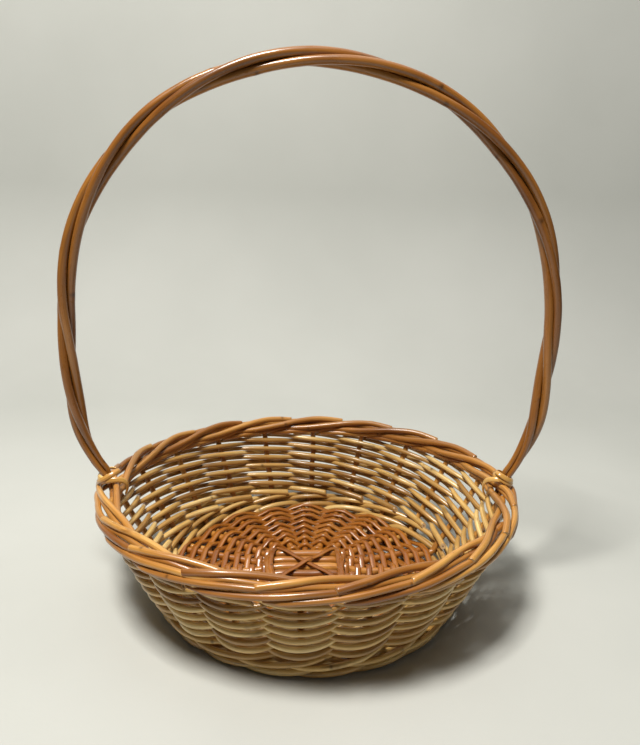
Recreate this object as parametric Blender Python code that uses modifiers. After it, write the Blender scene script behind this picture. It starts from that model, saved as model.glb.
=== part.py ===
"""An oval willow gift basket: ten base sticks, a woven base, twenty side stakes that turn down into the
border, a wall of twenty weavers that climb side by side, and a tall twisted handle tied on at both ends."""

import math

import bmesh
import bpy
from mathutils import Vector

MM = 0.001

# Stakes: how many stand round the basket, and how far they are turned from the handle's plane.
STAKE_COUNT = 20
PITCH = math.tau / STAKE_COUNT
STAKE_TURN = math.radians(-3.5)
STAKE_RADIUS = 2.7 * MM

# Wall: a round foot that flares into an oval rim.
WALL_FOOT_Z = 15.0 * MM
WALL_FOOT_RADIUS = 128.5 * MM
RIM_Z = 89.5 * MM
RIM_HALF_LENGTH = 170.0 * MM
RIM_HALF_WIDTH = 152.0 * MM
WALL_BULGE = 2.0 * MM

# Wall: two level wale rods at its foot, then one weaver from each stake. A weaver goes behind one stake
# and in front of the next, and climbs by half a rod's height of wall at each of them.
WALE_HEIGHTS = (15.2 * MM, 19.4 * MM)
WALE_RADIUS = 2.0 * MM
WALE_END_GAP = 2.6 * MM
WEAVER_FIRST_Z = 23.9 * MM
WEAVER_CLIMB = 4.43 * MM
WEAVER_TOP_Z = 81.5 * MM
WEAVER_PASSES = 14
WEAVER_END_TURN = 0.36
WEAVER_RADIUS = 2.05 * MM
WEAVER_SWING = 5.6 * MM

# Border: where a bent-over stake lies after each half pitch of its way round, measured outwards and
# upwards from the top of the stakes.
BORDER_PATH = (
    (0.0, 0.0),
    (-3.5, -0.5),
    (-6.8, 0.5),
    (-7.8, 4.4),
    (-6.2, 7.2),
    (0.0, 8.4),
    (5.4, 6.6),
    (7.8, 2.4),
    (7.8, -2.2),
    (7.4, -3.4),
)
BORDER_LAPS = 4.4
BORDER_RADIUS = 2.8 * MM
BORDER_TIP_RADIUS = 2.0 * MM

# How far the border parts round a handle foot, and over what half width.
PART_HALF_SPAN = 20.0 * MM
PART_INWARD = 1.6 * MM
PART_OUTWARD = 5.6 * MM

# Base: two crossed layers of sticks that fan out into rays, and one flat weaver.
BASE_Z = 8.6 * MM
STICKS_PER_LAYER = 5
STICK_RADIUS = 4.0 * MM
RAY_RADIUS = 3.2 * MM
STICK_SPACING = 11.0 * MM
LAYER_OFFSET = 4.15 * MM
SLATH_HALF = 29.0 * MM
FAN_RADIUS = 48.0 * MM
RAY_END_RADIUS = 118.0 * MM
TAIL_START_RADIUS = 97.0 * MM

BAND_WIDTH = 6.0 * MM
BAND_THICKNESS = 1.3 * MM
BAND_SWING = 4.4 * MM
BAND_FIRST_RADIUS = 53.5 * MM
BAND_ROW_PITCH = 7.3 * MM
BAND_ROWS = 8
BAND_LEAD = 1.6 * MM
BAND_LAG_PAST_TAIL = 8.6 * MM

# Binding: the flat rod that ties the two layers of sticks together where they cross.
BINDING_WIDTH = 4.5 * MM
BINDING_THICKNESS = 1.0 * MM
BINDING_CORNER = 27.0 * MM
BINDING_BEND = 4.0 * MM
BINDING_TURN_STEPS = 5
BINDING_Z = 17.8 * MM

# Foot: the ring that the basket stands on.
FOOT_SECTION = (
    (117.5, 2.5),
    (119.5, 5.0),
    (127.5, 5.4),
    (131.5, 6.4),
    (132.4, 9.7),
    (134.0, 9.6),
    (134.4, 8.0),
    (130.5, 3.4),
    (126.0, 0.0),
    (119.0, 0.0),
)
FOOT_SIDES = 40

# Handle: three rods laid together as a rope over a hoop.
HANDLE_RODS = 3
HANDLE_ROD_RADIUS = 3.5 * MM
HANDLE_LAY = 2.0 / math.sqrt(3.0)
HANDLE_TWISTS = 3.0
HOOP_RADIUS = 198.0 * MM
HOOP_CENTRE_Z = 242.5 * MM
HOOP_STEPS = 22
LEG_STEPS = 7
LEG_DROP = 28.0 * MM
LEG_POWER = 3.9
LEG_FOOT_Z = 100.0 * MM
LEG_END_Z = 108.0 * MM

# Handle feet: the way down through the border, outwards from the stakes' tops and up from the table,
# then on into the wall for the rod that lies next to the stake.
FOOT_SLOT_PITCH = 4.4 * MM
FOOT_RUN = ((2.9, 104.0), (-0.2, 98.5), (-0.6, 91.5), (-1.0, 85.0))
FOOT_RUN_RADII = [2.0 * MM, 1.9 * MM, 1.8 * MM, 1.6 * MM]
FOOT_WALL_RUN = [78.0 * MM, 60.0 * MM]
FOOT_WALL_RADII = [1.4 * MM, 1.0 * MM]

# Ties: along the rim, outwards from the stakes' tops and up from the table.
TIE_RADIUS = 1.1 * MM
TIE_PATH = (
    (-13.5, 12.8, 88.5),
    (-12.0, 13.6, 95.0),
    (-9.0, 11.2, 100.8),
    (-4.0, 9.0, 103.2),
    (4.0, 9.0, 103.6),
    (8.6, 3.4, 104.2),
    (5.0, -1.8, 104.2),
    (-5.0, -1.6, 104.8),
    (-9.0, 3.6, 106.4),
    (-5.5, 12.4, 108.6),
    (5.5, 12.8, 109.0),
    (10.4, 6.0, 108.6),
    (6.5, -0.8, 107.2),
    (2.5, -6.0, 104.4),
    (0.5, -11.0, 99.5),
    (-0.5, -13.6, 93.5),
    (-0.5, -13.0, 87.5),
    (0.0, -10.0, 84.6),
)


def mix(first, last, share):
    return first + (last - first) * share


def smooth(share):
    share = min(max(share, 0.0), 1.0)
    return share * share * (3.0 - 2.0 * share)


def material(name, colour, roughness):
    made = bpy.data.materials.new(name)
    made.use_nodes = True
    shader = made.node_tree.nodes["Principled BSDF"]
    shader.inputs["Base Color"].default_value = (*colour, 1.0)
    shader.inputs["Roughness"].default_value = roughness
    shader.inputs["Metallic"].default_value = 0.0
    return made


def rod(name, points, radii, finish, closed=False):
    """A round rod through the points, as thick at each as radii says."""
    curve = bpy.data.curves.new(name, "CURVE")
    curve.dimensions = "3D"
    curve.bevel_depth = max(radii)
    curve.bevel_resolution = 1
    curve.use_fill_caps = True
    spline = curve.splines.new("POLY")
    spline.points.add(len(points) - 1)
    for spot, place, radius in zip(spline.points, points, radii):
        spot.co = (*place, 1.0)
        spot.radius = radius / curve.bevel_depth
    spline.use_cyclic_u = closed
    curve.materials.append(finish)
    made = bpy.data.objects.new(name, curve)
    basket.objects.link(made)
    return made


def stake_angle(index):
    return STAKE_TURN + index * PITCH


def wall_point(angle, height, out=0.0):
    """The point of the wall's middle surface at this angle and height, moved square to it by out."""
    rise = RIM_Z - WALL_FOOT_Z
    share = (height - WALL_FOOT_Z) / rise
    bulge = 4.0 * WALL_BULGE * share * (1.0 - share)
    half_x = mix(WALL_FOOT_RADIUS, RIM_HALF_LENGTH, share) + bulge
    half_y = mix(WALL_FOOT_RADIUS, RIM_HALF_WIDTH, share) + bulge
    bulge_slope = 4.0 * WALL_BULGE * (1.0 - 2.0 * share) / rise
    slope_x = (RIM_HALF_LENGTH - WALL_FOOT_RADIUS) / rise + bulge_slope
    slope_y = (RIM_HALF_WIDTH - WALL_FOOT_RADIUS) / rise + bulge_slope
    along = Vector((-half_x * math.sin(angle), half_y * math.cos(angle), 0.0))
    up = Vector((slope_x * math.cos(angle), slope_y * math.sin(angle), 1.0))
    square = along.cross(up).normalized()
    return Vector((half_x * math.cos(angle), half_y * math.sin(angle), height)) + square * out


def rim_point(angle, out, up):
    """A point beside the top of the stakes: out level and away from the basket, up above them."""
    level = Vector((RIM_HALF_WIDTH * math.cos(angle), RIM_HALF_LENGTH * math.sin(angle), 0.0)).normalized()
    top = Vector((RIM_HALF_LENGTH * math.cos(angle), RIM_HALF_WIDTH * math.sin(angle), RIM_Z))
    return top + level * out + Vector((0.0, 0.0, up))


def border_offset(laps):
    """Where a border stroke lies in the border's section, laps stake pitches along its way."""
    step = min(int(laps * 2.0), len(BORDER_PATH) - 2)
    share = laps * 2.0 - step
    out, up = (mix(a, b, share) for a, b in zip(BORDER_PATH[step], BORDER_PATH[step + 1]))
    return out * MM, up * MM


def foot_bump(angle):
    """How strongly the border parts to let a handle foot through, from 0 to 1."""
    if abs(math.cos(angle)) < 0.9:
        return 0.0
    across = RIM_HALF_WIDTH * math.sin(angle) * math.copysign(1.0, math.cos(angle))
    share = min(abs(across) / PART_HALF_SPAN, 1.0)
    return math.cos(share * math.pi / 2.0) ** 2


def border_place(index, laps):
    """A point of the border stroke of one stake, pushed aside where a handle foot comes through."""
    angle = stake_angle(index) - laps * PITCH
    out, up = border_offset(laps)
    side = mix(-PART_INWARD, PART_OUTWARD, smooth((laps - 2.3) / 0.3))
    return rim_point(angle, out + side * foot_bump(angle), up)


def border_stops(index):
    """Laps at which a stroke gets a point: every half, and every quarter beside a handle foot."""
    stops = [0.06]
    for quarter in range(2, int(BORDER_LAPS * 4.0)):
        laps = quarter / 4.0
        if quarter % 2 == 0 or foot_bump(stake_angle(index) - laps * PITCH) > 0.0:
            stops.append(laps)
    return stops + [BORDER_LAPS]


def side_stake(index, finish):
    """One stake: a tail pushed into the base, the upright of the wall, and its stroke of the border."""
    angle = stake_angle(index)
    level = Vector((math.cos(angle), math.sin(angle), 0.0))
    points = [level * TAIL_START_RADIUS, level * (WALL_FOOT_RADIUS - 8.0 * MM)]
    points = [spot + Vector((0.0, 0.0, BASE_Z)) for spot in points]
    points.append(level * (WALL_FOOT_RADIUS - 2.6 * MM) + Vector((0.0, 0.0, BASE_Z + 2.0 * MM)))
    points += [wall_point(angle, height * MM) for height in (16.0, 40.0, 64.0, 85.0)]
    radii = [2.4 * MM] + [STAKE_RADIUS] * 6
    for laps in border_stops(index):
        points.append(border_place(index, laps))
        radii.append(mix(BORDER_RADIUS, BORDER_TIP_RADIUS, smooth((laps - 2.6) / 1.8)))
    return rod(f"side_stake_{index + 1:02d}", points, radii, finish)


def wale_rod(number, finish):
    """A level rod round the foot of the wall, in front of and behind the stakes, its ends meeting at one."""
    height = WALE_HEIGHTS[number]
    end_turn = 0.5 * WALE_END_GAP / WALL_FOOT_RADIUS
    points = []
    for step in range(STAKE_COUNT + 1):
        turn = end_turn if step == 0 else -end_turn if step == STAKE_COUNT else 0.0
        side = 1.0 if step % 2 == 0 else -1.0
        points.append(wall_point(stake_angle(number + step) + turn, height, side * WEAVER_SWING))
    return rod(f"wale_rod_{number + 1}", points, [WALE_RADIUS] * len(points), finish)


def wall_weaver(index, finish):
    """The weaver that starts inside one stake: in and out round the basket while it climbs to the border."""
    last = WEAVER_PASSES - 1
    points = []
    for turns in [-WEAVER_END_TURN] + list(range(WEAVER_PASSES)) + [last + WEAVER_END_TURN]:
        side = 1.0 if min(max(round(turns), 0), last) % 2 else -1.0
        height = min(WEAVER_FIRST_Z + turns * WEAVER_CLIMB, WEAVER_TOP_Z)
        points.append(wall_point(stake_angle(index + turns), height, side * WEAVER_SWING))
    return rod(f"wall_weaver_{index + 1:02d}", points, [WEAVER_RADIUS] * len(points), finish)


def ray_angle(index):
    return (index - (STICKS_PER_LAYER - 1) / 2.0) * PITCH


def base_stick(name, index, side, turn, finish):
    """A stick across the base: straight over the middle, then fanned out to its two rays."""
    offset = (index - (STICKS_PER_LAYER - 1) / 2.0) * STICK_SPACING
    fan = ray_angle(index)
    right = [
        Vector((SLATH_HALF, offset, BASE_Z + side * LAYER_OFFSET)),
        Vector((FAN_RADIUS * math.cos(fan), FAN_RADIUS * math.sin(fan), BASE_Z)),
        Vector((RAY_END_RADIUS * math.cos(fan), RAY_END_RADIUS * math.sin(fan), BASE_Z)),
    ]
    left = [Vector((-spot.x, spot.y, spot.z)) for spot in reversed(right)]
    radii = [RAY_RADIUS, RAY_RADIUS, STICK_RADIUS, STICK_RADIUS, RAY_RADIUS, RAY_RADIUS]
    made = rod(name, left + right, radii, finish)
    made.rotation_euler.z = turn
    return made


def band_path():
    """Points of the base weaver: over one ray, under the next, one skipped over each time round."""
    points = []
    rays = STAKE_COUNT * BAND_ROWS
    for step in range(rays):
        rounds = step / STAKE_COUNT
        radius = BAND_FIRST_RADIUS + rounds * BAND_ROW_PITCH
        side = 1.0 if (step + int(rounds)) % 2 == 0 else -1.0
        beside_tail = radius > TAIL_START_RADIUS - BAND_WIDTH
        lag = BAND_LAG_PAST_TAIL if beside_tail else BAND_LEAD
        for along in (-lag, BAND_LEAD):
            angle = step * PITCH + along / radius
            spot = Vector((radius * math.cos(angle), radius * math.sin(angle), BASE_Z + side * BAND_SWING))
            points.append(spot)
    return points


def flat_band(name, points, width, thickness, finish):
    """A flat split rod: a level-lying oblong section swept along the points."""
    mesh = bpy.data.meshes.new(name)
    shape = bmesh.new()
    rings = []
    for number, spot in enumerate(points):
        ahead = points[min(number + 1, len(points) - 1)] - points[max(number - 1, 0)]
        across = Vector((ahead.y, -ahead.x, 0.0)).normalized() * (width / 2.0)
        thick = across.cross(ahead).normalized() * (thickness / 2.0)
        corners = (-across - thick, across - thick, across + thick, -across + thick)
        rings.append([shape.verts.new(spot + corner) for corner in corners])
    for first, second in zip(rings, rings[1:]):
        for side in range(4):
            after = (side + 1) % 4
            shape.faces.new((first[side], second[side], second[after], first[after]))
    shape.faces.new(rings[0])
    shape.faces.new(list(reversed(rings[-1])))
    bmesh.ops.recalc_face_normals(shape, faces=shape.faces)
    shape.to_mesh(mesh)
    shape.free()
    mesh.materials.append(finish)
    made = bpy.data.objects.new(name, mesh)
    basket.objects.link(made)
    return made


def binding_path():
    """Corner to corner across the middle, down one side, across again over itself, and back up."""
    corner = []
    for step in range(BINDING_TURN_STEPS + 1):
        turn = mix(math.radians(135.0), math.radians(0.0), step / BINDING_TURN_STEPS)
        bend = BINDING_BEND * math.cos(turn), BINDING_BEND * math.sin(turn)
        corner.append((BINDING_CORNER + bend[0], BINDING_CORNER + bend[1]))
    first = [(-BINDING_CORNER, -BINDING_CORNER)] + corner
    second = [(x, -y) for x, y in reversed(corner)]
    over = [(BINDING_BEND * 2.4, -BINDING_BEND * 2.4), (0.0, 0.0), (-BINDING_BEND * 2.4, BINDING_BEND * 2.4)]
    third = [(-x, y) for x, y in corner] + [(-BINDING_CORNER - BINDING_BEND, -BINDING_CORNER * 0.7)]
    points = [Vector((x, y, BINDING_Z)) for x, y in first + second + over + third]
    middle = len(first) + len(second) + 1
    points[middle].z += 1.5 * BINDING_THICKNESS
    points[middle - 1].z += 0.3 * BINDING_THICKNESS
    points[middle + 1].z += 0.3 * BINDING_THICKNESS
    return points


def foot_ring(finish):
    """The ring under and outside the turn of the stakes, turned from a flat-bottomed section."""
    mesh = bpy.data.meshes.new("foot_ring")
    corners = [(out * MM, 0.0, up * MM) for out, up in FOOT_SECTION]
    edges = [(side, (side + 1) % len(corners)) for side in range(len(corners))]
    mesh.from_pydata(corners, edges, [])
    mesh.materials.append(finish)
    made = bpy.data.objects.new("foot_ring", mesh)
    basket.objects.link(made)
    screw = made.modifiers.new("turned", "SCREW")
    screw.steps = FOOT_SIDES
    screw.render_steps = FOOT_SIDES
    screw.use_merge_vertices = True
    screw.merge_threshold = 0.01 * MM
    screw.use_normal_calculate = True
    return made


def hoop_frame(share):
    """Centre and outward way of the handle's hoop; share runs 0 to 1 from foot to foot."""
    steps = share * (HOOP_STEPS + 2 * LEG_STEPS)
    if LEG_STEPS <= steps <= LEG_STEPS + HOOP_STEPS:
        turn = math.pi * (steps - LEG_STEPS) / HOOP_STEPS
        outward = Vector((-math.cos(turn), 0.0, math.sin(turn)))
        return Vector((0.0, 0.0, HOOP_CENTRE_Z)) + outward * HOOP_RADIUS, outward
    side = -1.0 if share < 0.5 else 1.0
    from_end = min(steps, HOOP_STEPS + 2 * LEG_STEPS - steps)
    height = mix(LEG_END_Z, HOOP_CENTRE_Z, from_end / LEG_STEPS)
    span = HOOP_CENTRE_Z - LEG_FOOT_Z
    below = (HOOP_CENTRE_Z - height) / span
    half = HOOP_RADIUS - LEG_DROP * below**LEG_POWER
    lean = LEG_DROP * LEG_POWER * below ** (LEG_POWER - 1.0) / span
    return Vector((side * half, 0.0, height)), Vector((side, 0.0, -lean)).normalized()


def foot_place(side, along, out, height):
    """A point at a handle foot: along the rim from the handle's plane, out from the stakes' tops."""
    return Vector((side * (RIM_HALF_LENGTH + out), side * along, height))


def foot_end(side, slot):
    """Where a rod goes below the hoop: side by side down through the border, one on into the wall."""
    along = slot * FOOT_SLOT_PITCH
    points = [foot_place(side, along, out * MM, height * MM) for out, height in FOOT_RUN]
    radii = list(FOOT_RUN_RADII)
    if slot < 0:
        angle = (0.0 if side > 0.0 else math.pi) - FOOT_SLOT_PITCH / RIM_HALF_WIDTH
        points += [wall_point(angle, height) for height in FOOT_WALL_RUN]
        radii += FOOT_WALL_RADII
    return points, radii


def handle_rod(index, finish):
    """One rod of the rope, its two ends thinned and pushed through the border beside a stake."""
    steps = HOOP_STEPS + 2 * LEG_STEPS
    front = Vector((0.0, -1.0, 0.0))
    points = []
    radii = []
    for step in range(steps + 1):
        share = step / steps
        centre, outward = hoop_frame(share)
        turn = math.tau * (HANDLE_TWISTS * (0.5 - share) + index / HANDLE_RODS)
        from_foot = smooth((0.5 - abs(share - 0.5)) * steps / 2.5)
        radius = mix(FOOT_RUN_RADII[0] + 0.3 * MM, HANDLE_ROD_RADIUS, from_foot)
        lay = (radius + 0.3 * MM) * HANDLE_LAY
        points.append(centre + (outward * math.cos(turn) + front * math.sin(turn)) * lay)
        radii.append(radius)
    left_points, left_radii = foot_end(-1.0, (0, -1, 1)[index])
    right_points, right_radii = foot_end(1.0, (0, 1, -1)[index])
    points = left_points[::-1] + points + right_points
    radii = left_radii[::-1] + radii + right_radii
    return rod(f"handle_rod_{index + 1}", points, radii, finish)


def handle_tie(name, side, finish):
    """A split rod lapped twice round a handle foot, one end down each face of the border."""
    points = [foot_place(side, along * MM, out * MM, height * MM) for along, out, height in TIE_PATH]
    return rod(name, points, [TIE_RADIUS] * len(points), finish)


def build():
    pale = material("peeled_willow", (0.62, 0.42, 0.19), 0.42)
    for number in range(len(WALE_HEIGHTS)):
        wale_rod(number, pale)
    for index in range(STAKE_COUNT):
        wall_weaver(index, pale)
    golden = material("varnished_willow", (0.52, 0.27, 0.09), 0.35)
    for index in range(STAKE_COUNT):
        side_stake(index, golden)
    brown = material("base_willow", (0.45, 0.22, 0.07), 0.4)
    for index in range(STICKS_PER_LAYER):
        base_stick(f"base_stick_{index + 1}", index, 1.0, 0.0, brown)
        base_stick(f"cross_stick_{index + 1}", index, -1.0, math.pi / 2.0, brown)
    split = material("split_willow", (0.5, 0.25, 0.08), 0.35)
    flat_band("base_weaver", band_path(), BAND_WIDTH, BAND_THICKNESS, split)
    flat_band("base_binding", binding_path(), BINDING_WIDTH, BINDING_THICKNESS, split)
    foot_ring(pale)
    dark = material("handle_willow", (0.4, 0.18, 0.05), 0.33)
    for index in range(HANDLE_RODS):
        handle_rod(index, dark)
    handle_tie("handle_tie_left", -1.0, split)
    handle_tie("handle_tie_right", 1.0, split)


for old in list(bpy.data.objects):
    bpy.data.objects.remove(old, do_unlink=True)
basket = bpy.data.collections.new("easter_basket")
bpy.context.scene.collection.children.link(basket)
build()
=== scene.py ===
import math

import bpy
import numpy as np
from mathutils import Matrix, Vector


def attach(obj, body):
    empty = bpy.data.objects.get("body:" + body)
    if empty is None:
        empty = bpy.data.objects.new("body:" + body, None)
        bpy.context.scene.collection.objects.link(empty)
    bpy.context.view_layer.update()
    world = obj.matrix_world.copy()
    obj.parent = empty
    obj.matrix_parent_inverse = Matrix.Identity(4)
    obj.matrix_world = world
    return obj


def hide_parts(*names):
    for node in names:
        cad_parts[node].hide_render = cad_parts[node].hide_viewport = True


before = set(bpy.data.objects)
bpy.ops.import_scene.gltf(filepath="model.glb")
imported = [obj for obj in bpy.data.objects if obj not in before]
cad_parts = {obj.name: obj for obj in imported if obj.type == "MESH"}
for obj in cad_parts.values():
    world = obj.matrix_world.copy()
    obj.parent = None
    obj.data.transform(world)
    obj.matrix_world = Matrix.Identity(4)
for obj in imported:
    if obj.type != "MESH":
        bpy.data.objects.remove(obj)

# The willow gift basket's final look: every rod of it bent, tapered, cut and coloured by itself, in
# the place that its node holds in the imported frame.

MM = 0.001
TAU = math.tau
UNEVENNESS = 0.035
UP = np.array([0.0, 0.0, 1.0])
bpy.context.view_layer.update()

# Stakes and wall, as in the frame: a round foot that flares into an oval rim.
STAKES = 20
PITCH = TAU / STAKES
STAKE_TURN = math.radians(-3.5)
STAKE_RADIUS = 2.7 * MM
WALL_FOOT_Z = 15.0 * MM
WALL_FOOT_RADIUS = 128.5 * MM
RIM_Z = 89.5 * MM
RIM_HALF_LENGTH = 170.0 * MM
RIM_HALF_WIDTH = 152.0 * MM
WALL_BULGE = 2.0 * MM

# Wall weavers: one starts inside each stake and climbs while it goes out and in. It is thinner by the share
# WEAVER_SQUEEZE between stakes than beside them, and a WEAVER_SHAPE below 1 keeps it out or in for longer.
WEAVER_FIRST_Z = 23.9 * MM
WEAVER_CLIMB = 4.43 * MM
WEAVER_TOP_Z = 81.8 * MM
WEAVER_START = -0.40
WEAVER_FINISH = 13.42
WEAVER_SWING = 5.3 * MM
WEAVER_BUTT_RADIUS = 2.95 * MM
WEAVER_RADIUS = 2.65 * MM
WEAVER_TIP_RADIUS = 2.35 * MM
WEAVER_SQUEEZE = 0.18
WEAVER_SHAPE = 0.8

# Border: (laps of the rim in stake pitches, outwards, upwards) along a bent-over stake, which is cut off
# on top, and along the second rod that comes out from under its cut end.
BORDER_UPPER = (
    (0.5, -4.4, 0.0),
    (0.9, -7.0, 2.0),
    (1.3, -7.2, 5.0),
    (1.7, -3.6, 7.6),
    (2.1, 2.2, 8.1),
    (2.55, 6.5, 5.0),
)
BORDER_LOWER = (
    (0.12, -3.6, -4.6),
    (0.6, -5.6, -3.2),
    (1.1, -5.4, -1.6),
    (1.5, -2.6, 1.6),
    (1.9, 0.8, 4.0),
    (2.3, 4.4, 3.4),
    (2.8, 7.0, 3.6),
    (3.3, 7.9, 0.9),
    (3.8, 8.0, -1.9),
    (4.2, 7.7, -3.9),
    (4.45, 7.2, -5.0),
)
BORDER_RADIUS = 2.8 * MM
LOWER_RADIUS = 2.55 * MM
LOWER_POINT = 13.0 * MM
PART_HALF_SPAN = 20.0 * MM
PART_INWARD = 1.4 * MM
PART_OUTWARD = 3.2 * MM

# Base.
BASE_Z = 8.6 * MM
STICKS_PER_LAYER = 5
STICK_RADIUS = 4.0 * MM
RAY_RADIUS = 3.1 * MM
STICK_SPACING = 11.0 * MM
LAYER_OFFSET = 4.15 * MM
RAY_END_RADIUS = 118.0 * MM
TAIL_START_RADIUS = 97.0 * MM
SKEIN_WIDTH = 5.4 * MM
SKEIN_THICKNESS = 3.1 * MM
SKEIN_BEND = 3
SKEIN_FIRST_REACH = 35.0 * MM
SKEIN_LAST_RADIUS = 117.0 * MM
SKEIN_ROWS = 16
SKEIN_LEAD = 1.0 * MM
SKEIN_LAG_PAST_TAIL = 8.2 * MM
BINDING_WIDTH = 4.6 * MM
BINDING_THICKNESS = 1.5 * MM

# Foot wale: (distance out, height) in millimetres inside a stake, under one, and outside one. Upper wale:
# (out from the wall's middle surface, height).
FOOT_WALE = ((120.8, 13.6), (126.6, 2.9), (131.8, 8.2))
FOOT_WALE_RADIUS = 2.75 * MM
UPPER_WALE = ((-5.4, 18.6), (5.3, 14.6), (5.5, 19.4))
UPPER_WALE_RADIUS = 2.35 * MM

# Handle.
HANDLE_RODS = 3
HANDLE_ROD_RADIUS = 3.6 * MM
HANDLE_TWISTS = 3.0
HOOP_RADIUS = 198.0 * MM
HOOP_CENTRE_Z = 242.5 * MM
LEG_DROP = 28.0 * MM
LEG_POWER = 3.9
LEG_FOOT_Z = 100.0 * MM
LEG_END_Z = 107.0 * MM
HOOP_STEPS = 22
LEG_STEPS = 7
FOOT_ROD_RADIUS = 2.3 * MM

# Handle feet: (outwards from the stakes' tops, up from the table, rod radius, share of the slot pitch).
FOOT_SLOT_PITCH = 4.4 * MM
FOOT_RUN = ((2.0, 101.5, 2.15, 0.7), (0.3, 96.0, 2.0, 0.95), (-0.6, 91.0, 1.8, 1.0), (-1.6, 83.0, 1.5, 1.0))

# Ties.
TIE_WIDTH = 4.6 * MM
TIE_THICKNESS = 1.9 * MM

# Room. The backdrop hides the basket from a camera that stands behind BACKDROP_Y.
BACKDROP_Y = 0.75
BACKDROP_CURVE = 0.30
BACKDROP_STEPS = 24
BACKDROP_HEIGHT = 3.2
BACKDROP_HALF_WIDTH = 3.2
FLOOR_FRONT_Y = -3.0
CAMERA_PLACE = (0.0071, -0.582, 0.382)
CAMERA_PITCH = math.radians(17.5)
CAMERA_YAW = math.radians(3.09)
CAMERA_ROLL = math.radians(1.69)
CAMERA_LENS = 35.42


def mix(first, last, share):
    return first + (last - first) * share


def smooth(share):
    share = np.clip(share, 0.0, 1.0)
    return share * share * (3.0 - 2.0 * share)


def unit(rows):
    return rows / np.maximum(np.linalg.norm(rows, axis=-1, keepdims=True), 1e-12)


def wander(along, rng, size, waves):
    """A slow irregular wave of about this size along a rod; waves are its wavelengths."""
    total = np.zeros_like(along)
    for wave in waves:
        total += np.sin(TAU * along / (wave * rng.uniform(0.8, 1.25)) + rng.uniform(0.0, TAU))
    return size * total / len(waves)


def smooth_through(stops, spacing):
    """A smooth curve through rows of stops; columns after the third are carried along with x, y, z."""
    stops = np.asarray(stops, dtype=float)
    spans = np.linalg.norm(np.diff(stops[:, :3], axis=0), axis=1)
    knots = np.concatenate([[0.0], np.cumsum(np.maximum(spans, 1e-6))])
    slopes = np.diff(stops, axis=0) / np.diff(knots)[:, None]
    weight = np.diff(knots)
    shared = (weight[1:] + weight[:-1])[:, None]
    inner = (slopes[:-1] * weight[1:, None] + slopes[1:] * weight[:-1, None]) / shared
    tangents = np.vstack([1.5 * slopes[:1] - 0.5 * inner[:1], inner, 1.5 * slopes[-1:] - 0.5 * inner[-1:]])
    count = max(int(knots[-1] / spacing), 4)
    where = np.linspace(0.0, knots[-1], count + 1)
    span = np.clip(np.searchsorted(knots, where, side="right") - 1, 0, len(weight) - 1)
    width = weight[span][:, None]
    t = ((where - knots[span]) / weight[span])[:, None]
    return (
        (2 * t**3 - 3 * t**2 + 1) * stops[span]
        + (t**3 - 2 * t**2 + t) * width * tangents[span]
        + (3 * t**2 - 2 * t**3) * stops[span + 1]
        + (t**3 - t**2) * width * tangents[span + 1]
    )


def carried_frames(points, first_side):
    """Tangents and two square directions along a path, turned no more than the path itself turns."""
    tangents = unit(np.gradient(points, axis=0))
    sides = np.empty_like(points)
    side = first_side
    for number, tangent in enumerate(tangents):
        side = side - tangent * side.dot(tangent)
        side = side / np.linalg.norm(side)
        sides[number] = side
    return tangents, sides, np.cross(tangents, sides)


def knots_along(along, angles, radius, rng, spacing):
    """Leaf scars: small swellings on one side of a rod, and how dark each point of them is."""
    swelling = np.zeros((len(along), len(angles)))
    scars = np.zeros_like(swelling)
    place = rng.uniform(0.2, 1.0) * spacing
    while place < along[-1]:
        toward = rng.uniform(0.0, TAU)
        near = np.abs((angles - toward + math.pi) % TAU - math.pi)
        spread = np.exp(-((near / 0.9) ** 2))[None, :]
        swelling += 0.11 * np.exp(-(((along - place) / (1.1 * radius)) ** 2))[:, None] * spread
        scars += np.exp(-(((along - place - 0.5 * radius) / (0.7 * radius)) ** 2))[:, None] * spread
        place += spacing * rng.uniform(0.5, 1.6)
    return swelling, np.clip(scars, 0.0, 1.0)


def add_piece(name, verts, faces, finishes, cut_faces, marks, nodes):
    """Makes the mesh object with its surface attributes and hands it to the frame."""
    mesh = bpy.data.meshes.new(name)
    mesh.from_pydata(verts.tolist(), [], faces)
    for finish in finishes:
        mesh.materials.append(finish)
    mesh.polygons.foreach_set("use_smooth", [not flag for flag in cut_faces])
    mesh.polygons.foreach_set("material_index", [int(flag) for flag in cut_faces])
    for label, kind, values in marks:
        layer = mesh.attributes.new(label, kind, "POINT")
        layer.data.foreach_set("vector" if kind == "FLOAT_VECTOR" else "value", np.ravel(values))
    mesh.update()
    piece = bpy.data.objects.new(name, mesh)
    bpy.context.scene.collection.objects.link(piece)
    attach(piece, "root")
    if nodes:
        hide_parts(*nodes)
    return piece


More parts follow.
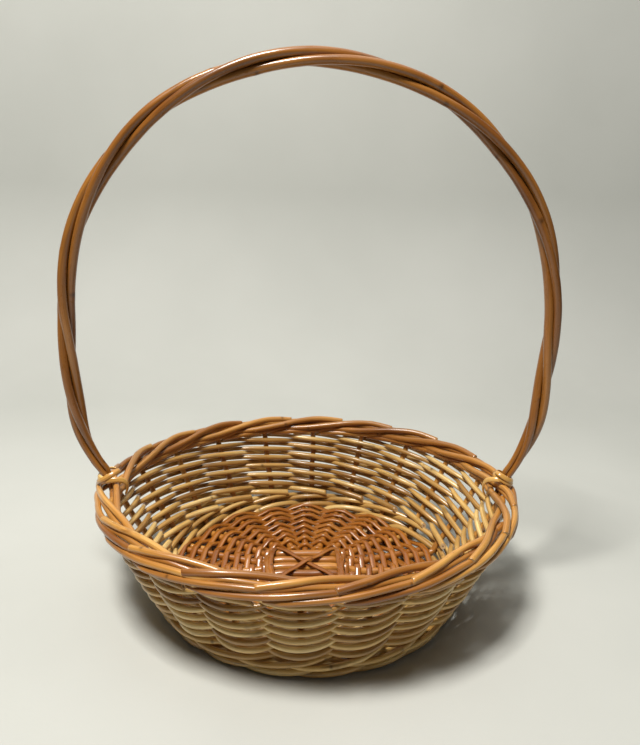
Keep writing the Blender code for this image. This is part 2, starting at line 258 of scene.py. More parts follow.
def rod_parts(path, radii, rng, sides=12, first_side=UP, section=(1.0, 1.0), ups=None, scar_spacing=0.09,
              roughen=1.0, slants=(0.0, 0.0), roundness=1.0):
    """Vertices, faces and surface values of one rod: a slightly uneven tube with a cut at each end.
    section is its half width and half height in radii, ups the direction that its flat side faces, and
    roundness is 1 for an oval section and less for a squarer one."""
    path = np.asarray(path)
    along = np.concatenate([[0.0], np.cumsum(np.linalg.norm(np.diff(path, axis=0), axis=1))])
    if ups is None:
        tangents, across, over = carried_frames(path, np.asarray(first_side, dtype=float))
    else:
        tangents = unit(np.gradient(path, axis=0))
        across = unit(np.cross(tangents, ups))
        over = np.cross(across, tangents)
    angles = np.arange(sides) / sides * TAU
    mean_radius = float(np.mean(radii))
    swelling, scars = knots_along(along, angles, mean_radius, rng, scar_spacing)
    oval = wander(along, rng, UNEVENNESS * roughen, (0.05, 0.11))
    ovals = oval[:, None] * np.cos(2.0 * angles + rng.uniform(0, 3))[None, :]
    waves = wander(along, rng, UNEVENNESS * roughen, (0.03, 0.07, 0.16))
    thickness = 1.0 + waves[:, None] + ovals + swelling * roughen
    flat = np.abs(np.cos(angles)) ** roundness * np.sign(np.cos(angles)) * section[0]
    tall = np.abs(np.sin(angles)) ** roundness * np.sign(np.sin(angles)) * section[1]
    local_x = flat[None, :] * radii[:, None] * thickness
    local_y = tall[None, :] * radii[:, None] * thickness
    rings = path[:, None, :] + across[:, None, :] * local_x[..., None] + over[:, None, :] * local_y[..., None]
    for end, slant in ((0, slants[0]), (-1, slants[1])):
        rings[end] += tangents[end][None, :] * (slant * local_x[end])[:, None]
    offset = rng.uniform(0.0, 9.0)
    count = len(path)
    verts = [rings.reshape(-1, 3)]
    lengths = np.broadcast_to(along[:, None] + offset, local_x.shape)
    spots = [np.stack([local_x, local_y, lengths], -1).reshape(-1, 3)]
    faces = []
    for ring in range(count - 1):
        low, high = ring * sides, (ring + 1) * sides
        for side in range(sides):
            after = (side + 1) % sides
            faces.append((low + side, low + after, high + after, high + side))
    cut = [False] * len(faces)
    total = count * sides
    for end, way in ((0, -1.0), (-1, 1.0)):
        ring = rings[end]
        centre = ring.mean(axis=0)
        bevel = tangents[end] * way * 0.10 * radii[end]
        rim = centre + (ring - centre) * 0.90 + bevel
        verts += [rim, (centre + bevel * 0.8)[None, :]]
        values = np.stack([local_x[end] * 0.9, local_y[end] * 0.9, np.full(sides, along[end] + offset)], -1)
        spots += [values, np.array([[0.0, 0.0, along[end] + offset]])]
        edge = 0 if end == 0 else (count - 1) * sides
        for side in range(sides):
            after = (side + 1) % sides
            band = (edge + side, total + side, total + after, edge + after)
            fan = (total + side, total + sides, total + after)
            faces.append(band if end == 0 else band[::-1])
            faces.append(fan if end == 0 else fan[::-1])
            cut += [False, True]
        total += sides + 1
    scars = np.concatenate([scars.ravel(), np.zeros(2 * (sides + 1))])
    return np.concatenate(verts), faces, cut, np.concatenate(spots), scars


def rod(name, path, radii, finishes, seed, nodes, slot, tone=None, **shape):
    """One willow rod as a piece of its own."""
    rng = np.random.default_rng(seed)
    tone = rng.uniform(0.0, 1.0) if tone is None else tone
    verts, faces, cut, spots, scars = rod_parts(path, radii, rng, **shape)
    marks = (
        ("rod", "FLOAT_VECTOR", spots),
        ("tone", "FLOAT", np.full(len(verts), tone)),
        ("scar", "FLOAT", scars),
    )
    return add_piece(name, verts, faces, finishes, cut, marks, nodes)


def rod_group(name, rods, finishes, nodes):
    """Several rods as one piece; rods holds (path, radii, seed, tone, shape) for each."""
    verts, faces, cut, spots, tones, scars = [], [], [], [], [], []
    total = 0
    for path, radii, seed, tone, shape in rods:
        part = rod_parts(path, radii, np.random.default_rng(seed), **shape)
        verts.append(part[0])
        faces += [tuple(corner + total for corner in face) for face in part[1]]
        cut += part[2]
        spots.append(part[3])
        tones.append(np.full(len(part[0]), tone))
        scars.append(part[4])
        total += len(part[0])
    marks = (
        ("rod", "FLOAT_VECTOR", np.concatenate(spots)),
        ("tone", "FLOAT", np.concatenate(tones)),
        ("scar", "FLOAT", np.concatenate(scars)),
    )
    return add_piece(name, np.concatenate(verts), faces, finishes, cut, marks, nodes)


# Materials. "rod" holds each surface point's place on its rod laid straight (across, across, along),
# "tone" one value for each rod, and "scar" how strongly a leaf scar darkens the point.

def node(tree, kind, **values):
    made = tree.nodes.new(kind)
    for name, value in values.items():
        setattr(made, name, value)
    return made


def noise(tree, source, scale, detail, roughness):
    """Noise on the straightened rod; scale is (across, along) in cycles a metre."""
    mapping = node(tree, "ShaderNodeMapping")
    mapping.inputs["Scale"].default_value = (scale[0], scale[0], scale[1])
    tree.links.new(source, mapping.inputs["Vector"])
    made = node(tree, "ShaderNodeTexNoise", noise_dimensions="3D")
    made.inputs["Scale"].default_value = 1.0
    made.inputs["Detail"].default_value = detail
    made.inputs["Roughness"].default_value = roughness
    tree.links.new(mapping.outputs["Vector"], made.inputs["Vector"])
    return made.outputs["Fac"]


def ramp(tree, factor, stops):
    made = node(tree, "ShaderNodeValToRGB")
    elements = made.color_ramp.elements
    while len(elements) < len(stops):
        elements.new(0.5)
    for element, (place, colour) in zip(elements, stops):
        element.position = place
        element.color = (*colour, 1.0)
    tree.links.new(factor, made.inputs["Fac"])
    return made.outputs["Color"]


def blend(tree, factor, first, second, kind="MIX"):
    made = node(tree, "ShaderNodeMix", data_type="RGBA", blend_type=kind)
    for value, socket in ((factor, made.inputs["Factor"]), (first, made.inputs[6]), (second, made.inputs[7])):
        if isinstance(value, bpy.types.NodeSocket):
            tree.links.new(value, socket)
        else:
            socket.default_value = value if isinstance(value, float) else (*value, 1.0)
    return made.outputs[2]


def remap(tree, value, low, high, to_low=0.0, to_high=1.0):
    made = node(tree, "ShaderNodeMapRange")
    made.inputs["From Min"].default_value = low
    made.inputs["From Max"].default_value = high
    made.inputs["To Min"].default_value = to_low
    made.inputs["To Max"].default_value = to_high
    tree.links.new(value, made.inputs["Value"])
    return made.outputs["Result"]


def willow(name, stops, patch, patch_share, streak=0.35, gloss=(0.26, 0.44), coat=0.45, bump=0.35):
    """Varnished willow: stops colour a rod from dark to pale, patch is the tint of its stained stretches."""
    made = bpy.data.materials.new(name)
    made.use_nodes = True
    tree = made.node_tree
    shader = tree.nodes["Principled BSDF"]
    place = node(tree, "ShaderNodeAttribute", attribute_name="rod").outputs["Vector"]
    tone = node(tree, "ShaderNodeAttribute", attribute_name="tone").outputs["Fac"]
    scar = node(tree, "ShaderNodeAttribute", attribute_name="scar").outputs["Fac"]

    slow = noise(tree, place, (55.0, 11.0), 3.0, 0.55)
    fibres = noise(tree, place, (950.0, 16.0), 4.0, 0.6)
    flecks = noise(tree, place, (420.0, 95.0), 3.0, 0.65)
    stains = noise(tree, place, (70.0, 24.0), 4.0, 0.6)

    shift = node(tree, "ShaderNodeMath", operation="MULTIPLY_ADD")
    tree.links.new(tone, shift.inputs[0])
    shift.inputs[1].default_value = 0.42
    shift.inputs[2].default_value = -0.21
    level = node(tree, "ShaderNodeMath", operation="ADD")
    tree.links.new(slow, level.inputs[0])
    tree.links.new(shift.outputs[0], level.inputs[1])
    colour = ramp(tree, remap(tree, level.outputs[0], 0.22, 0.80), stops)

    stained = remap(tree, stains, 0.68 - patch_share * 0.3, 0.74 - patch_share * 0.2, 0.0, 0.75)
    colour = blend(tree, stained, colour, patch)
    lines = remap(tree, fibres, 0.32, 0.68, 1.0 - streak, 1.0 + streak * 0.35)
    grey = node(tree, "ShaderNodeCombineColor")
    for channel in ("Red", "Green", "Blue"):
        tree.links.new(lines, grey.inputs[channel])
    colour = blend(tree, 1.0, colour, grey.outputs["Color"], "MULTIPLY")
    dark = tuple(value * 0.35 for value in stops[0][1])
    colour = blend(tree, remap(tree, flecks, 0.66, 0.80, 0.0, 0.55), colour, dark)
    colour = blend(tree, remap(tree, scar, 0.25, 0.9, 0.0, 0.8), colour, dark)
    tree.links.new(colour, shader.inputs["Base Color"])

    tree.links.new(remap(tree, flecks, 0.3, 0.75, *gloss), shader.inputs["Roughness"])
    shader.inputs["Coat Weight"].default_value = coat
    shader.inputs["Coat Roughness"].default_value = 0.16
    relief = node(tree, "ShaderNodeBump")
    relief.inputs["Strength"].default_value = bump
    relief.inputs["Distance"].default_value = 0.25 * MM
    tree.links.new(fibres, relief.inputs["Height"])
    tree.links.new(relief.outputs["Normal"], shader.inputs["Normal"])
    return made


def cut_wood(name, wood, pith):
    """The end of a cut rod: pale wood round a brown pith, with faint rings."""
    made = bpy.data.materials.new(name)
    made.use_nodes = True
    tree = made.node_tree
    shader = tree.nodes["Principled BSDF"]
    place = node(tree, "ShaderNodeAttribute", attribute_name="rod").outputs["Vector"]
    flat = node(tree, "ShaderNodeVectorMath", operation="MULTIPLY")
    flat.inputs[1].default_value = (1.0, 1.0, 0.0)
    tree.links.new(place, flat.inputs[0])
    length = node(tree, "ShaderNodeVectorMath", operation="LENGTH")
    tree.links.new(flat.outputs["Vector"], length.inputs[0])
    grain = noise(tree, place, (1500.0, 60.0), 3.0, 0.6)
    colour = ramp(tree, remap(tree, length.outputs["Value"], 0.0, 3.2 * MM), (
        (0.0, pith), (0.22, pith), (0.30, wood), (1.0, tuple(value * 0.8 for value in wood))))
    dark = tuple(value * 0.5 for value in wood)
    colour = blend(tree, remap(tree, grain, 0.45, 0.75, 0.0, 0.6), colour, dark)
    tree.links.new(colour, shader.inputs["Base Color"])
    shader.inputs["Roughness"].default_value = 0.72
    return made


cut_pale = cut_wood("cut_pale_willow", (0.66, 0.47, 0.25), (0.24, 0.12, 0.05))
cut_brown = cut_wood("cut_brown_willow", (0.50, 0.30, 0.13), (0.16, 0.07, 0.03))
wall_willow = willow(
    "wall_willow",
    ((0.0, (0.22, 0.092, 0.012)), (0.35, (0.48, 0.262, 0.068)),
     (0.7, (0.68, 0.43, 0.135)), (1.0, (0.86, 0.62, 0.26))),
    (0.26, 0.15, 0.04), 0.35)
stake_willow = willow(
    "stake_willow",
    ((0.0, (0.24, 0.079, 0.011)), (0.4, (0.41, 0.168, 0.031)),
     (0.75, (0.545, 0.257, 0.055)), (1.0, (0.68, 0.37, 0.094))),
    (0.29, 0.117, 0.023), 0.2, streak=0.3)
base_willow = willow(
    "base_willow",
    ((0.0, (0.20, 0.056, 0.005)), (0.4, (0.345, 0.116, 0.014)),
     (0.8, (0.46, 0.176, 0.025)), (1.0, (0.56, 0.253, 0.049))),
    (0.23, 0.07, 0.011), 0.2)
skein_willow = willow(
    "skein_willow",
    ((0.0, (0.17, 0.043, 0.004)), (0.4, (0.30, 0.094, 0.009)),
     (0.75, (0.405, 0.148, 0.018)), (1.0, (0.52, 0.235, 0.040))),
    (0.196, 0.06, 0.007), 0.25, gloss=(0.22, 0.40), coat=0.55)
handle_willow = willow(
    "handle_willow",
    ((0.0, (0.15, 0.048, 0.007)), (0.4, (0.275, 0.102, 0.015)),
     (0.8, (0.385, 0.162, 0.029)), (1.0, (0.49, 0.232, 0.052))),
    (0.195, 0.079, 0.017), 0.2, streak=0.28, gloss=(0.24, 0.38), coat=0.5, bump=0.25)
tie_willow = willow(
    "tie_willow",
    ((0.0, (0.40, 0.17, 0.030)), (0.4, (0.56, 0.28, 0.06)),
     (0.8, (0.70, 0.41, 0.11)), (1.0, (0.80, 0.52, 0.19))),
    (0.36, 0.15, 0.03), 0.2, gloss=(0.20, 0.34), coat=0.6)


# Geometry of the basket.

def stake_angle(index):
    return STAKE_TURN + index * PITCH


def wall_places(angle, height, out):
    """Points of the wall's middle surface, moved square to it by out, and the outward directions."""
    angle, height, out = np.broadcast_arrays(angle, height, out)
    rise = RIM_Z - WALL_FOOT_Z
    share = (height - WALL_FOOT_Z) / rise
    bulge = 4.0 * WALL_BULGE * share * (1.0 - share)
    bulge_slope = 4.0 * WALL_BULGE * (1.0 - 2.0 * share) / rise
    half_x = mix(WALL_FOOT_RADIUS, RIM_HALF_LENGTH, share) + bulge
    half_y = mix(WALL_FOOT_RADIUS, RIM_HALF_WIDTH, share) + bulge
    slope_x = (RIM_HALF_LENGTH - WALL_FOOT_RADIUS) / rise + bulge_slope
    slope_y = (RIM_HALF_WIDTH - WALL_FOOT_RADIUS) / rise + bulge_slope
    cos, sin = np.cos(angle), np.sin(angle)
    along = np.stack([-half_x * sin, half_y * cos, np.zeros_like(cos)], -1)
    up = np.stack([slope_x * cos, slope_y * sin, np.ones_like(cos)], -1)
    square = unit(np.cross(along, up))
    return np.stack([half_x * cos, half_y * sin, height], -1) + square * out[..., None], square


def rim_place(angle, out, up):
    level = unit(np.array([RIM_HALF_WIDTH * math.cos(angle), RIM_HALF_LENGTH * math.sin(angle), 0.0]))
    top = np.array([RIM_HALF_LENGTH * math.cos(angle), RIM_HALF_WIDTH * math.sin(angle), RIM_Z])
    return top + level * out + UP * up


def foot_bump(angle):
    """How strongly the border parts round a handle foot, from 0 to 1."""
    if abs(math.cos(angle)) < 0.9:
        return 0.0
    share = min(abs(RIM_HALF_WIDTH * math.sin(angle)) / PART_HALF_SPAN, 1.0)
    return math.cos(share * math.pi / 2.0) ** 2


def wall_weaver(index):
    """One weaver: thick end inside a stake, then out and in as it climbs, thin end under the border."""
    rng = np.random.default_rng(200 + index)
    turns = np.arange(WEAVER_START, WEAVER_FINISH, 1.0 / 14.0)
    last = math.floor(WEAVER_FINISH)
    swing = -np.cos(math.pi * np.clip(turns, 0.0, last))
    swing = np.sign(swing) * np.abs(swing) ** WEAVER_SHAPE
    along = (turns - turns[0]) * PITCH * 0.5 * (RIM_HALF_WIDTH + WALL_FOOT_RADIUS)
    heights = np.minimum(WEAVER_FIRST_Z + turns * WEAVER_CLIMB, WEAVER_TOP_Z)
    heights = heights + wander(along, rng, 0.5 * MM, (0.07, 0.16, 0.4))
    swings = swing * (WEAVER_SWING + wander(along, rng, 0.35 * MM, (0.09, 0.2)))
    path, square = wall_places(stake_angle(index) + turns * PITCH, heights, swings)
    radii = mix(WEAVER_RADIUS, WEAVER_TIP_RADIUS, along / along[-1])
    radii = radii + (WEAVER_BUTT_RADIUS - WEAVER_RADIUS) * (1.0 - smooth(along / 0.09))
    radii = radii * rng.uniform(0.95, 1.04) * (1.0 - WEAVER_SQUEEZE * (1.0 - np.abs(swing)))
    rod(f"wall_weaver_{index + 1:02d}_rod", path, radii, (wall_willow, cut_pale), 300 + index,
        [f"wall_weaver_{index + 1:02d}"], "peeled_willow", tone=rng.uniform(0.1, 1.0), first_side=UP,
        slants=(0.35, -0.7), scar_spacing=0.10)


def border_rod(stops, index, path, radius, rng, lift):
    """Adds one border rod's stops, parted round a handle foot where there is one."""
    angle = stake_angle(index)
    for laps, out, up in path:
        way = angle - laps * PITCH
        side = mix(-PART_INWARD, PART_OUTWARD, float(smooth((laps - 1.9) / 0.4)))
        out += rng.uniform(-0.3, 0.3)
        place = rim_place(way, out * MM + side * foot_bump(way), (up + lift) * MM)
        stops.append((*place, radius * rng.uniform(0.96, 1.04)))


def side_stake(index):
    """One stake: its tail beside a base ray, the upright in the wall, and its strokes of the border."""
    rng = np.random.default_rng(500 + index)
    angle = stake_angle(index)
    level = np.array([math.cos(angle), math.sin(angle), 0.0])
    stops = []
    for inward, lift in ((WALL_FOOT_RADIUS - TAIL_START_RADIUS, 0.0), (18.5 * MM, 0.0), (8.0 * MM, 0.2 * MM),
                         (3.0 * MM, 2.0 * MM)):
        stops.append((*(level * (WALL_FOOT_RADIUS - inward) + UP * (BASE_Z + lift)), STAKE_RADIUS))
    for height in np.array([16.0, 30.0, 46.0, 62.0, 78.0]) * MM:
        spot, _ = wall_places(angle + rng.uniform(-0.004, 0.004), height, rng.uniform(-0.3, 0.3) * MM)
        stops.append((*spot, STAKE_RADIUS))
    for laps, out, up in ((-0.005, -2.0, -5.0), (0.03, -0.6, -1.4), (0.14, -1.0, 0.2)):
        radius = mix(STAKE_RADIUS, BORDER_RADIUS, laps * 5.0)
        stops.append((*rim_place(angle - laps * PITCH, out * MM, up * MM), radius))
    lift = rng.uniform(-0.4, 0.4)
    border_rod(stops, index, BORDER_UPPER, BORDER_RADIUS, rng, lift)
    stake = smooth_through(stops, 1.8 * MM)
    second = []
    border_rod(second, index, BORDER_LOWER, LOWER_RADIUS, rng, rng.uniform(-0.3, 0.3))
    lower = smooth_through(second, 1.8 * MM)
    to_tip = np.linalg.norm(lower[:, :3] - lower[-1, :3], axis=1)
    lower[:, 3] *= mix(0.3, 1.0, smooth(to_tip / LOWER_POINT))
    rods = (
        (stake[:, :3], stake[:, 3], 600 + index, rng.uniform(0.0, 1.0),
         dict(slants=(0.3, rng.uniform(-0.7, 0.9)), scar_spacing=0.08)),
        (lower[:, :3], lower[:, 3], 640 + index, rng.uniform(0.1, 1.0),
         dict(slants=(0.3, 0.3), scar_spacing=0.09)),
    )
    stake_name = f"side_stake_{index + 1:02d}"
    rod_group(f"{stake_name}_rods", rods, (stake_willow, cut_pale), [stake_name])


def ray_angle(index):
    return (index - (STICKS_PER_LAYER - 1) / 2.0) * PITCH


def base_stick(name, index, side, turn, seed):
    rng = np.random.default_rng(seed)
    offset = (index - (STICKS_PER_LAYER - 1) / 2.0) * STICK_SPACING
    fan = ray_angle(index)
    right = []
    for reach, height, radius in ((12.0, 1.0, STICK_RADIUS), (24.0, 1.0, STICK_RADIUS)):
        right.append((reach * MM, offset, BASE_Z + side * LAYER_OFFSET * height, radius))
    for reach, height in ((40.0, 0.42), (50.0, 0.0), (64.0, 0.0), (80.0, 0.0), (99.0, 0.0), (118.0, 0.0)):
        reach *= MM
        height = BASE_Z + side * LAYER_OFFSET * height
        radius = mix(3.5 * MM, RAY_RADIUS, reach / RAY_END_RADIUS)
        right.append((reach * math.cos(fan), reach * math.sin(fan), height, radius))
    left = [(-x, y, z, radius) for x, y, z, radius in reversed(right)]
    dense = smooth_through(left + right, 2.5 * MM)
    cos, sin = math.cos(turn), math.sin(turn)
    turned_x = dense[:, 0] * cos - dense[:, 1] * sin
    turned_y = dense[:, 0] * sin + dense[:, 1] * cos
    points = np.stack([turned_x, turned_y, dense[:, 2]], -1)
    rod(f"{name}_rod", points, dense[:, 3] * rng.uniform(0.96, 1.02), (base_willow, cut_brown), seed, [name],
        "base_willow", first_side=UP)


def slath_reach(angle, row):
    """How far out a row of the base lies at this angle: a round square that turns into a circle."""
    share = row / (SKEIN_ROWS - 1)
    square = SKEIN_FIRST_REACH / (abs(math.cos(angle)) ** 4 + abs(math.sin(angle)) ** 4) ** 0.25
    return mix(square, SKEIN_LAST_RADIUS, share)


def ray_place(ray, reach):
    """Angle and height of a base ray at this distance from the middle; rays are numbered from -36 degrees."""
    fan = (ray - (STICKS_PER_LAYER - 1) / 2.0) * PITCH
    index = ray % STICKS_PER_LAYER
    upper = (ray // STICKS_PER_LAYER) % 2 == 0
    offset = (index - (STICKS_PER_LAYER - 1) / 2.0) * STICK_SPACING
    parallel = math.asin(min(offset / reach, 1.0)) - ray_angle(index)
    straight = float(np.interp(reach / MM, (30.0, 48.0), (1.0, 0.0)))
    lift = float(np.interp(reach / MM, (24.0, 40.0, 50.0), (1.0, 0.42, 0.0)))
    return fan + parallel * straight, BASE_Z + (1.0 if upper else -1.0) * LAYER_OFFSET * lift


def base_skein():
    """The flat rod of the base: over one ray and under the next, one skipped over each time round."""
    rng = np.random.default_rng(900)
    stops = []
    for step in range(STAKES * SKEIN_ROWS):
        rounds = step / STAKES
        row, ray = divmod(step, STAKES)
        middle = (ray - (STICKS_PER_LAYER - 1) / 2.0) * PITCH
        reach = slath_reach(middle, rounds)
        angle, height = ray_place(ray, reach)
        reach += rng.uniform(-0.35, 0.35) * MM
        side = 1.0 if (step + row) % 2 == 0 else -1.0
        lag = SKEIN_LAG_PAST_TAIL if reach > TAIL_START_RADIUS - SKEIN_WIDTH else SKEIN_LEAD
        clear = mix(STICK_RADIUS - 0.3 * MM, RAY_RADIUS, reach / RAY_END_RADIUS) + SKEIN_THICKNESS * 0.42
        for along in (-lag, SKEIN_LEAD):
            way = angle + along / reach
            stops.append((reach * math.cos(way), reach * math.sin(way), height + side * clear))
    stops = np.array(stops)
    along = np.concatenate([[0.0], np.cumsum(np.linalg.norm(np.diff(stops, axis=0), axis=1))])
    places = np.arange(0.0, along[-1], 1.5 * MM)
    path = np.stack([np.interp(places, along, stops[:, axis]) for axis in range(3)], -1)
    padded = np.pad(path, ((SKEIN_BEND // 2, SKEIN_BEND // 2), (0, 0)), mode="edge")
    return sum(padded[step:step + len(path)] for step in range(SKEIN_BEND)) / SKEIN_BEND


def flat_rods(name, rods, finish, seed, nodes):
    """Split rods as one piece: each is (path, upward directions, width, thickness, tone)."""
    group = []
    for number, (path, ups, width, thickness, tone) in enumerate(rods):
        count = len(path)
        ends = np.minimum(np.arange(count), np.arange(count)[::-1]) * 1.0
        taper = mix(0.82, 1.0, smooth(ends / 4.0))
        shape = dict(sides=12, section=(1.0, thickness / width), ups=np.broadcast_to(ups, path.shape),
                     scar_spacing=0.12, roughen=0.7)
        group.append((path, taper * width * 0.5, seed + number, tone, shape))
    return rod_group(name, group, (finish, cut_brown), nodes)


def base_binding():
    """Two split rods crossed over the middle of the base and the ones that frame its sides."""
    strips = []
    for stops, tone in (
        (((-31, -31, 6.0), (-28, -28, 15.5), (-22, -21.5, 18.4), (-8, -7, 18.8), (0, 0, 20.4), (8, 7, 19.2),
          (22, 21, 18.4), (28, 28, 15.0), (31, 31, 6.0)), 0.35),
        (((31, -30, 6.0), (28, -27, 15.0), (21, -20, 18.2), (8, -7.5, 18.3), (0, 0, 18.5), (-8, 8, 18.3),
          (-21, 21, 18.2), (-27, 27.5, 15.0), (-30, 31, 6.0)), 0.2),
        (((-27, 32, 7.0), (-28.5, 27.5, 15.5), (-31, 18, 18.0), (-32.5, 4, 18.2), (-32, -10, 18.0),
          (-29.5, -24, 17.5), (-27.5, -32, 9.0)), 0.25),
        (((28, 32, 7.0), (28.5, 27, 15.5), (29, 17, 18.0), (29.5, 4, 18.0), (29.5, -10, 18.0),
          (29, -24, 17.5), (28.5, -31, 9.0)), 0.45),
        (((33.5, 17, 16.0), (33.0, 9, 18.0), (31.5, -2, 19.3), (30.5, -12, 19.4),
          (31.0, -24, 18.0), (33.5, -32, 10.0)), 0.6),
        (((-35.5, 16, 15.5), (-36.0, 6, 17.5), (-35.5, -8, 17.8), (-33.0, -22, 17.0),
          (-31.0, -31, 9.0)), 0.5),
    ):
        dense = smooth_through(np.array(stops) * MM, 1.8 * MM)
        strips.append((dense, UP, BINDING_WIDTH, BINDING_THICKNESS, tone))
    flat_rods("base_binding_rods", strips, skein_willow, 950, ["base_binding"])


def base_weaver():
    path = base_skein()
    count = len(path)
    radii = np.full(count, SKEIN_WIDTH * 0.5)
    shape = dict(sides=12, section=(1.0, SKEIN_THICKNESS / SKEIN_WIDTH), ups=np.broadcast_to(UP, path.shape),
                 scar_spacing=0.15, roughen=1.3, roundness=0.62)
    rods = [(path, radii, 905, 0.5, shape)]
    rod_group("base_weaver_skein", rods, (skein_willow, cut_brown), ["base_weaver"])


def wale(name, place, radius, nodes, seed):
    """Three rods twisted round the stakes: each goes inside one stake and outside the next two."""
    group = []
    for strand in range(3):
        rng = np.random.default_rng(seed + strand)
        stops = []
        for step in range(STAKES + 1):
            stake = step + strand
            stops.append(place(stake_angle(stake), (step + 2 * strand) % 3, rng.uniform(-0.3, 0.3) * MM))
        dense = smooth_through(stops, 2.2 * MM)
        radii = np.full(len(dense), radius) * rng.uniform(0.97, 1.03)
        group.append((dense, radii, seed + 10 + strand, rng.uniform(0.2, 0.9), dict(slants=(0.4, -0.4))))
    rod_group(name, group, (wall_willow, cut_pale), nodes)


def foot_wale_place(angle, turn, stray):
    reach, height = FOOT_WALE[turn]
    reach = reach * MM + stray
    return (reach * math.cos(angle), reach * math.sin(angle), height * MM)


def upper_wale_place(angle, turn, stray):
    out, height = UPPER_WALE[turn]
    place, _ = wall_places(angle, height * MM, out * MM + stray)
    return tuple(place)


def hoop_frame(share):
    """Centre and outward way of the handle's hoop; share runs 0 to 1 from foot to foot."""
    steps = share * (HOOP_STEPS + 2 * LEG_STEPS)
    if LEG_STEPS <= steps <= LEG_STEPS + HOOP_STEPS:
        turn = math.pi * (steps - LEG_STEPS) / HOOP_STEPS
        outward = np.array([-math.cos(turn), 0.0, math.sin(turn)])
        return UP * HOOP_CENTRE_Z + outward * HOOP_RADIUS, outward
    side = -1.0 if share < 0.5 else 1.0
    from_end = min(steps, HOOP_STEPS + 2 * LEG_STEPS - steps)
    height = mix(LEG_END_Z, HOOP_CENTRE_Z, from_end / LEG_STEPS)
    span = HOOP_CENTRE_Z - LEG_FOOT_Z
    below = (HOOP_CENTRE_Z - height) / span
    half = HOOP_RADIUS - LEG_DROP * below**LEG_POWER
    lean = LEG_DROP * LEG_POWER * below ** (LEG_POWER - 1.0) / span
    return np.array([side * half, 0.0, height]), unit(np.array([side, 0.0, -lean]))


def foot_place(side, along, out, height):
    """A point at a handle foot: along the rim from the handle's plane, out from the stakes' tops."""
    return np.array([side * (RIM_HALF_LENGTH + out), side * along, height])


def foot_stops(side, slot):
    """Where a handle rod goes below the hoop, and how thick it is there."""
    stops = []
    for out, height, radius, spread in FOOT_RUN:
        place = foot_place(side, slot * FOOT_SLOT_PITCH * spread, out * MM, height * MM)
        stops.append((*place, radius * MM))
    return stops


def handle_rod(index):
    """One rod of the rope, its two ends thinned and pushed down through the border."""
    rng = np.random.default_rng(700 + index)
    front = np.array([0.0, -1.0, 0.0])
    stops = []
    steps = 108
    phase = rng.uniform(0.0, TAU, 3)
    for step in range(steps + 1):
        share = step / steps
        centre, outward = hoop_frame(share)
        turn = TAU * (HANDLE_TWISTS * (0.5 - share) + index / HANDLE_RODS)
        turn += 0.10 * math.sin(TAU * 1.3 * share + phase[0]) + 0.05 * math.sin(TAU * 3.7 * share + phase[1])
        from_foot = float(smooth((0.5 - abs(share - 0.5)) * (HOOP_STEPS + 2 * LEG_STEPS) / 3.0))
        radius = mix(FOOT_ROD_RADIUS, HANDLE_ROD_RADIUS, from_foot)
        lay = radius * 1.1547 + 0.12 * MM * (1.0 + math.sin(TAU * 5.0 * share + phase[2]))
        stops.append((*(centre + (outward * math.cos(turn) + front * math.sin(turn)) * lay), radius))
    stops = foot_stops(-1.0, (0, -1, 1)[index])[::-1] + stops + foot_stops(1.0, (0, 1, -1)[index])
    dense = smooth_through(stops, 2.0 * MM)
    rod(f"handle_rod_{index + 1}_willow", dense[:, :3], dense[:, 3], (handle_willow, cut_brown), 710 + index,
        [f"handle_rod_{index + 1}"], "handle_willow", first_side=(0.0, 1.0, 0.0), sides=18, scar_spacing=0.12,
        roughen=0.8)


def tie(name, side, runs, node_name, seed):
    """Split rods lapped round a handle foot; runs holds (along, out, height) points of each lap in order."""
    strips = []
    for number, stops in enumerate(runs):
        middle = foot_place(side, 0.0, 1.0 * MM, 99.0 * MM)
        points = np.array([
            foot_place(side, along * MM, out * MM, height * MM) for along, out, height in stops])
        dense = smooth_through(points, 1.0 * MM)
        ups = unit(dense - middle)
        tangents = unit(np.gradient(dense, axis=0))
        ups = unit(ups - tangents * np.sum(ups * tangents, axis=1)[:, None])
        strips.append((dense, ups, TIE_WIDTH, TIE_THICKNESS, 0.45 + 0.3 * number))
    flat_rods(name, strips, tie_willow, seed, [node_name])


LEFT_TIE = (
    ((-4.0, -4.5, 106.0), (1.0, -7.0, 108.6), (5.5, -4.5, 108.2), (8.2, 0.5, 106.0), (8.0, 6.0, 102.6),
     (4.5, 9.8, 99.8), (1.0, 11.8, 96.5), (-1.5, 13.0, 92.0), (-3.0, 12.6, 87.5), (-4.0, 10.0, 84.0)),
    ((6.5, 6.5, 99.5), (8.6, 2.0, 102.0), (8.8, -4.0, 103.0), (7.2, -10.0, 102.4), (5.0, -13.6, 99.0),
     (4.0, -14.2, 94.0), (3.5, -12.5, 88.0)),
    ((7.5, 3.0, 102.5), (5.0, 8.5, 103.5), (0.0, 10.0, 104.0), (-5.0, 8.0, 105.0),
     (-7.5, 2.0, 106.5), (-5.0, -4.0, 107.5)),
)
RIGHT_TIE = (
    ((-2.0, -5.6, 109.6), (-6.0, -3.6, 109.2), (-8.0, 1.0, 106.6), (-6.6, 6.0, 103.6), (-2.0, 9.4, 101.6),
     (3.5, 9.0, 101.6), (7.4, 4.6, 103.4), (7.4, -1.0, 106.0), (3.0, -5.2, 107.6)),
    ((3.0, -5.4, 107.0), (-3.0, -5.8, 106.4), (-6.6, -3.0, 105.4), (-8.2, 1.4, 103.0), (-7.0, 6.2, 100.2),
     (-2.0, 9.8, 98.4), (3.0, 10.0, 97.8)),
    ((-6.0, 1.0, 103.4), (-6.5, -4.0, 104.4), (-4.0, -9.5, 103.4), (0.5, -13.2, 100.0), (3.0, -14.4, 94.0),
     (4.0, -13.4, 88.0), (4.5, -10.6, 83.0)),
)


# The room: a pale floor that curves up into a backdrop, two soft lights, a faint even sky, and the camera.

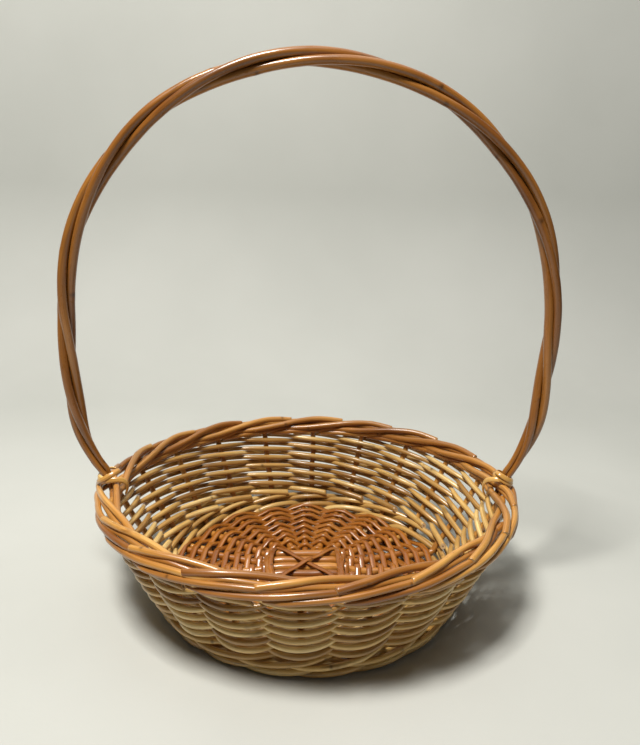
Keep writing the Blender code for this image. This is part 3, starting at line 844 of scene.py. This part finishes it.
def stage():
    """A pale sweep: flat under the basket, curved up behind it."""
    profile = [(FLOOR_FRONT_Y, 0.0), (BACKDROP_Y - BACKDROP_CURVE, 0.0)]
    for step in range(1, BACKDROP_STEPS + 1):
        turn = math.pi / 2.0 * step / BACKDROP_STEPS
        back = BACKDROP_Y - BACKDROP_CURVE * (1.0 - math.sin(turn))
        profile.append((back, BACKDROP_CURVE * (1.0 - math.cos(turn))))
    profile.append((BACKDROP_Y, BACKDROP_HEIGHT))
    verts = [(x, y, z) for y, z in profile for x in (-BACKDROP_HALF_WIDTH, BACKDROP_HALF_WIDTH)]
    faces = [(2 * k, 2 * k + 1, 2 * k + 3, 2 * k + 2) for k in range(len(profile) - 1)]
    mesh = bpy.data.meshes.new("sweep")
    mesh.from_pydata(verts, [], faces)
    mesh.polygons.foreach_set("use_smooth", [True] * len(faces))
    made = bpy.data.materials.new("painted_backdrop")
    made.use_nodes = True
    tree = made.node_tree
    shader = tree.nodes["Principled BSDF"]
    place = node(tree, "ShaderNodeTexCoord").outputs["Object"]
    mottle = noise(tree, place, (3.0, 3.0), 4.0, 0.5)
    paint = ramp(tree, mottle, ((0.3, (0.46, 0.475, 0.45)), (0.7, (0.51, 0.525, 0.50))))
    tree.links.new(paint, shader.inputs["Base Color"])
    shader.inputs["Roughness"].default_value = 0.75
    grain = noise(tree, place, (420.0, 420.0), 3.0, 0.6)
    relief = node(tree, "ShaderNodeBump")
    relief.inputs["Strength"].default_value = 0.12
    relief.inputs["Distance"].default_value = 0.6 * MM
    tree.links.new(grain, relief.inputs["Height"])
    tree.links.new(relief.outputs["Normal"], shader.inputs["Normal"])
    mesh.materials.append(made)
    sweep = bpy.data.objects.new("sweep", mesh)
    bpy.context.scene.collection.objects.link(sweep)


def aim(thing, place, target):
    thing.location = place
    thing.rotation_euler = (Vector(target) - Vector(place)).to_track_quat("-Z", "Y").to_euler()


def soft_light(name, place, target, size, power, colour):
    light = bpy.data.lights.new(name, "AREA")
    light.shape = "RECTANGLE"
    light.size, light.size_y = size
    light.energy = power
    light.color = colour
    lamp = bpy.data.objects.new(name, light)
    bpy.context.scene.collection.objects.link(lamp)
    aim(lamp, place, target)


def world_light(colour, strength):
    world = bpy.data.worlds.new("studio")
    world.use_nodes = True
    background = world.node_tree.nodes["Background"]
    background.inputs["Color"].default_value = (*colour, 1.0)
    background.inputs["Strength"].default_value = strength
    bpy.context.scene.world = world


def front_camera():
    """The camera stands in front of the basket, above its handle's middle, and looks slightly down."""
    made = bpy.data.cameras.new("camera")
    made.sensor_width = 36.0
    made.lens = CAMERA_LENS
    camera = bpy.data.objects.new("camera", made)
    bpy.context.scene.collection.objects.link(camera)
    turn = Matrix.Rotation(-CAMERA_YAW, 4, "Z")
    tilt = Matrix.Rotation(math.radians(90.0) - CAMERA_PITCH, 4, "X")
    roll = Matrix.Rotation(CAMERA_ROLL, 4, "Z")
    camera.matrix_world = turn @ Matrix.Translation(CAMERA_PLACE) @ tilt @ roll
    bpy.context.scene.camera = camera


for index in range(STAKES):
    wall_weaver(index)
    side_stake(index)
for index in range(STICKS_PER_LAYER):
    base_stick(f"base_stick_{index + 1}", index, 1.0, 0.0, 800 + index)
    base_stick(f"cross_stick_{index + 1}", index, -1.0, math.pi / 2.0, 820 + index)
base_weaver()
base_binding()
wale("foot_wale", foot_wale_place, FOOT_WALE_RADIUS, ["foot_ring"], 970)
wale("upper_wale", upper_wale_place, UPPER_WALE_RADIUS, ["wale_rod_1", "wale_rod_2"], 990)
for index in range(HANDLE_RODS):
    handle_rod(index)
tie("left_tie_laps", -1.0, LEFT_TIE, "handle_tie_left", 1000)
tie("right_tie_laps", 1.0, RIGHT_TIE, "handle_tie_right", 1010)

stage()
soft_light("key", (-0.40, -0.46, 1.75), (0.0, 0.0, 0.1), (0.42, 0.42), 46.0, (1.0, 0.96, 0.90))
soft_light("top", (0.30, 0.25, 1.6), (0.0, 0.0, 0.0), (1.2, 1.2), 4.0, (1.0, 0.98, 0.95))
world_light((1.0, 0.97, 0.90), 0.07)
bpy.context.scene.view_settings.view_transform = "Standard"
front_camera()
